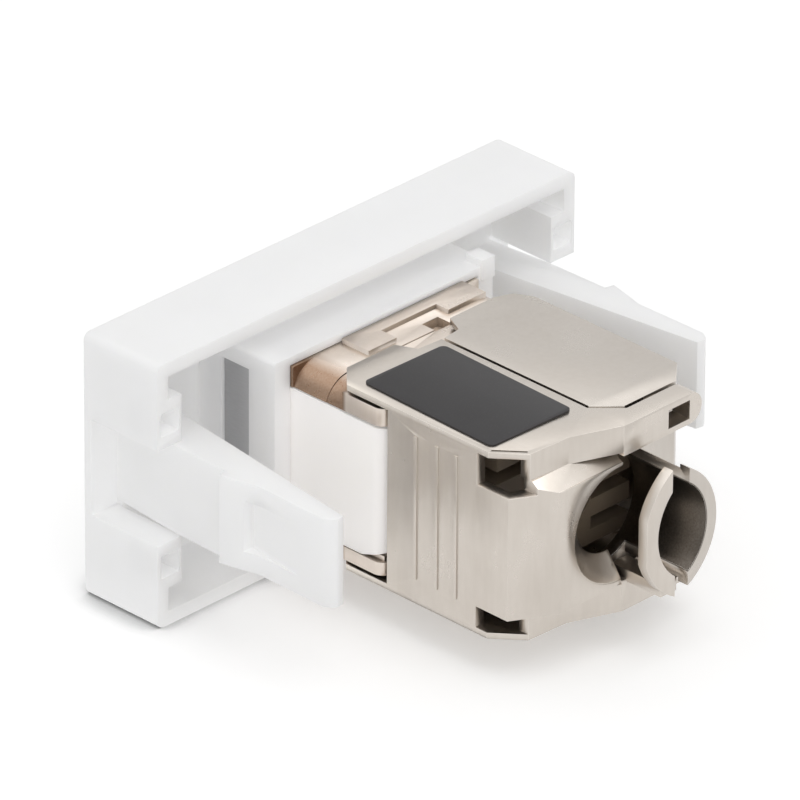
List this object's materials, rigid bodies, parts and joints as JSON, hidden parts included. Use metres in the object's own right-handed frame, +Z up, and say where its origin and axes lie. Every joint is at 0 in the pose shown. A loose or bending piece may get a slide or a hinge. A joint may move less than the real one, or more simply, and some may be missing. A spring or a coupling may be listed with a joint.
{
  "type": "keystone module insert",
  "caption": "Half-size white wall insert with two snap arms, holding a shielded toolless data jack on its side; two metal wings close over the wires and clamp the cable.",
  "frame": {"origin": "middle of the bottom face of the bounding box, at rest with the wings closed", "axes": "+X along the insert's long side to the end nearest the viewer in the picture, +Y from the front face back to the cable end, +Z up"},
  "size_m": [0.045, 0.039, 0.0225],
  "materials": {
    "holder_plastic": "satin moulded",
    "housing_metal": "nickelled casting, warm satin",
    "nickel_casting": "nickelled casting, satin",
    "steel_plate": "plain steel sheet",
    "ivory_plastic": "satin",
    "carrier_plastic": "satin",
    "gold_contact": "polished",
    "board": "lacquered",
    "tinned_terminal": "tinned",
    "guide_plastic": "satin",
    "label_film": "satin film"
  },
  "bodies": {
    "insert": {"holder_frame": "holder_plastic", "side_clip": "steel_plate", "jack_housing": "housing_metal", "latch_block": "ivory_plastic", "contact_carrier": "carrier_plastic", "port_contact_1": "gold_contact", "port_contact_2": "gold_contact", "port_contact_3": "gold_contact", "port_contact_4": "gold_contact", "port_contact_5": "gold_contact", "port_contact_6": "gold_contact", "port_contact_7": "gold_contact", "port_contact_8": "gold_contact", "circuit_board": "board", "terminal_block": "carrier_plastic", "wire_terminal_1": "tinned_terminal", "wire_terminal_2": "tinned_terminal", "wire_terminal_3": "tinned_terminal", "wire_terminal_4": "tinned_terminal", "wire_terminal_5": "tinned_terminal", "wire_terminal_6": "tinned_terminal", "wire_terminal_7": "tinned_terminal", "wire_terminal_8": "tinned_terminal", "wire_guide": "guide_plastic", "hinge_pins": "nickel_casting"},
    "near_leaf": {"near_wing": "nickel_casting", "label_plate": "label_film"},
    "far_leaf": {"far_wing": "nickel_casting"}
  },
  "joints": [
    {"name": "near_hinge", "type": "hinge", "parent": "insert", "child": "near_leaf", "pos_m": [0.0086, -0.0031, 0.01125], "axis": [0, 0, -1], "range_deg": [0, 40]},
    {"name": "far_hinge", "type": "hinge", "parent": "insert", "child": "far_leaf", "pos_m": [-0.0086, -0.0031, 0.01125], "axis": [0, 0, 1], "range_deg": [0, 40]}
  ],
  "couplings": [
    {"joint": "far_hinge", "follows": "near_hinge", "ratio": 1}
  ]
}
